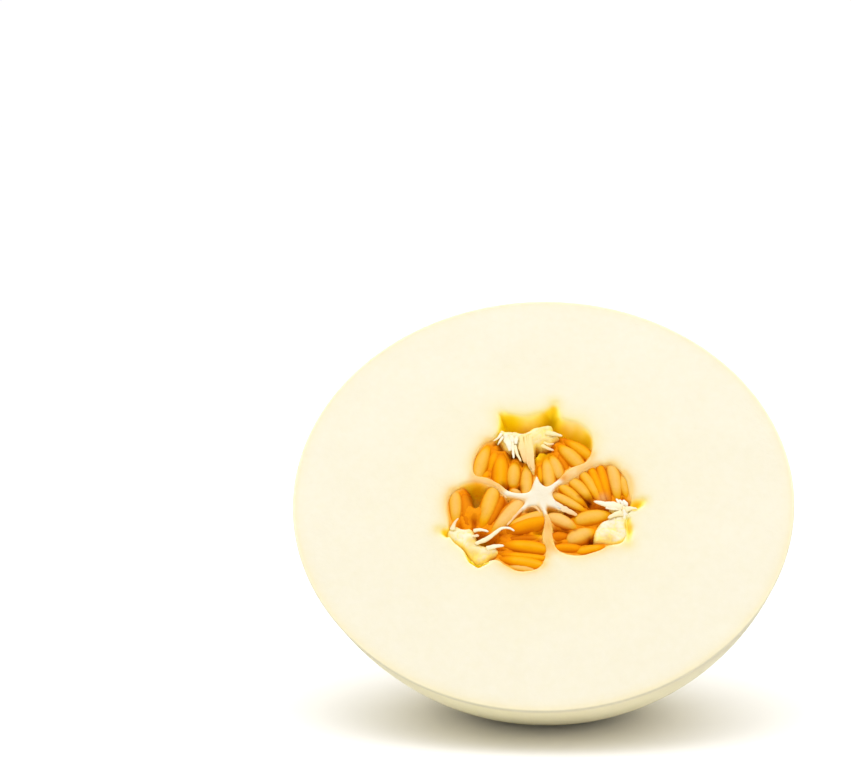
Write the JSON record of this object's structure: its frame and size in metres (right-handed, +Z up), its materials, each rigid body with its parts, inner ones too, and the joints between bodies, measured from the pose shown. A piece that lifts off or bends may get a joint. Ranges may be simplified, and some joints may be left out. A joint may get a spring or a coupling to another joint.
{
  "type": "halved white melon",
  "caption": "Half of a smooth white melon, cut square across, with pale flesh, seed lobes and fibrous pith, lying on a small flat spot of its rind.",
  "frame": {"origin": "on the flat spot that the half rests on, below the rind's lowest point", "axes": "+Z up out of the resting surface, +X along the widest line of the cut face, -Y the way the cut face looks"},
  "size_m": [0.145, 0.1171, 0.117],
  "materials": {
    "flesh_and_rind": "moist cream-white flesh inside a smooth, dull, greenish-white rind",
    "seeds_and_pulp": "wet orange seeds in orange pulp",
    "pith": "moist white to pale yellow fibres"
  },
  "bodies": {
    "root": {"melon_half": "flesh_and_rind", "seeds_top": "seeds_and_pulp", "seeds_left": "seeds_and_pulp", "seeds_right": "seeds_and_pulp", "pith_top": "pith", "pith_left": "pith", "pith_right": "pith"}
  },
  "joints": []
}
